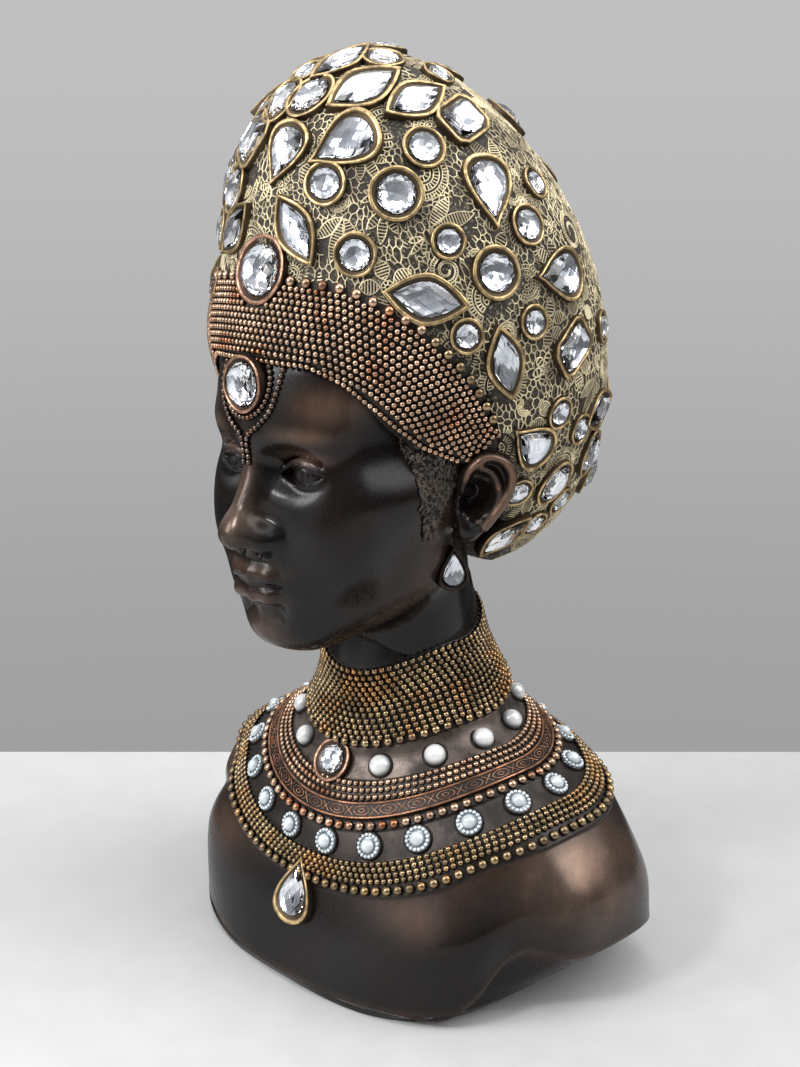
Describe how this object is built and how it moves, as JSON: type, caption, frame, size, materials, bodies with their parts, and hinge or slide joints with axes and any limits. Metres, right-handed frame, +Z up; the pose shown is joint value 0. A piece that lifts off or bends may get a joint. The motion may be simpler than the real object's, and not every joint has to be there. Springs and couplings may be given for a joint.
{
  "type": "decorative queen bust with a jewelled crown",
  "caption": "Cast resin bust of a queen with a tall crown set with clear stones, a beaded headband and choker, and a wide beaded collar; it stands on its flat underside.",
  "frame": {"origin": "on the floor under the middle of the overall box, halfway between its sides and halfway between front and back", "axes": "+Z up, the bust faces -Y, the figure's left side is +X"},
  "size_m": [0.1736, 0.1472, 0.2984],
  "materials": {
    "figure": "dark bronze paint on cast resin, satin, with copper and gold rubbed on raised work",
    "clear_stone": "clear faceted acrylic with a silver foil back",
    "pearl": "grey white pearl lustre"
  },
  "bodies": {
    "root": {"figure": "figure", "crown_front_stone": "clear_stone", "crown_drop_stone_01": "clear_stone", "crown_navette_stone_02": "clear_stone", "crown_round_stone_03": "clear_stone", "crown_big_navette_stone_04": "clear_stone", "crown_navette_stone_05": "clear_stone", "crown_octagon_stone_06": "clear_stone", "crown_drop_stone_07": "clear_stone", "crown_round_stone_08": "clear_stone", "crown_drop_stone_09": "clear_stone", "crown_octagon_stone_10": "clear_stone", "crown_big_navette_stone_11": "clear_stone", "crown_navette_stone_12": "clear_stone", "crown_navette_stone_13": "clear_stone", "crown_small_drop_stone_14": "clear_stone", "crown_oval_stone_15": "clear_stone", "crown_oval_stone_16": "clear_stone", "crown_navette_stone_17": "clear_stone", "crown_navette_stone_18": "clear_stone", "crown_oval_stone_19": "clear_stone", "crown_small_drop_stone_20": "clear_stone", "crown_octagon_stone_21": "clear_stone", "crown_oval_stone_22": "clear_stone", "crown_oval_stone_23": "clear_stone", "crown_navette_stone_24": "clear_stone", "crown_navette_stone_25": "clear_stone", "crown_round_stone_26": "clear_stone", "crown_octagon_stone_27": "clear_stone", "crown_drop_stone_28": "clear_stone", "crown_round_stone_29": "clear_stone", "crown_drop_stone_30": "clear_stone", "crown_big_navette_stone_31": "clear_stone", "crown_navette_stone_32": "clear_stone", "crown_octagon_stone_33": "clear_stone", "crown_navette_stone_34": "clear_stone", "crown_small_drop_stone_35": "clear_stone", "crown_navette_stone_36": "clear_stone", "crown_drop_stone_37": "clear_stone", "crown_drop_stone_38": "clear_stone", "crown_big_navette_stone_39": "clear_stone", "crown_oval_stone_40": "clear_stone", "crown_octagon_stone_41": "clear_stone", "forehead_stone": "clear_stone", "choker_stone": "clear_stone", "pendant_stone": "clear_stone", "left_earring_stone": "clear_stone", "right_earring_stone": "clear_stone", "neck_pearl_01": "pearl", "neck_pearl_02": "pearl", "neck_pearl_03": "pearl", "neck_pearl_04": "pearl", "neck_pearl_05": "pearl", "neck_pearl_06": "pearl", "neck_pearl_07": "pearl", "neck_pearl_08": "pearl", "neck_pearl_09": "pearl", "neck_pearl_10": "pearl", "neck_pearl_11": "pearl", "neck_pearl_12": "pearl"}
  },
  "joints": []
}
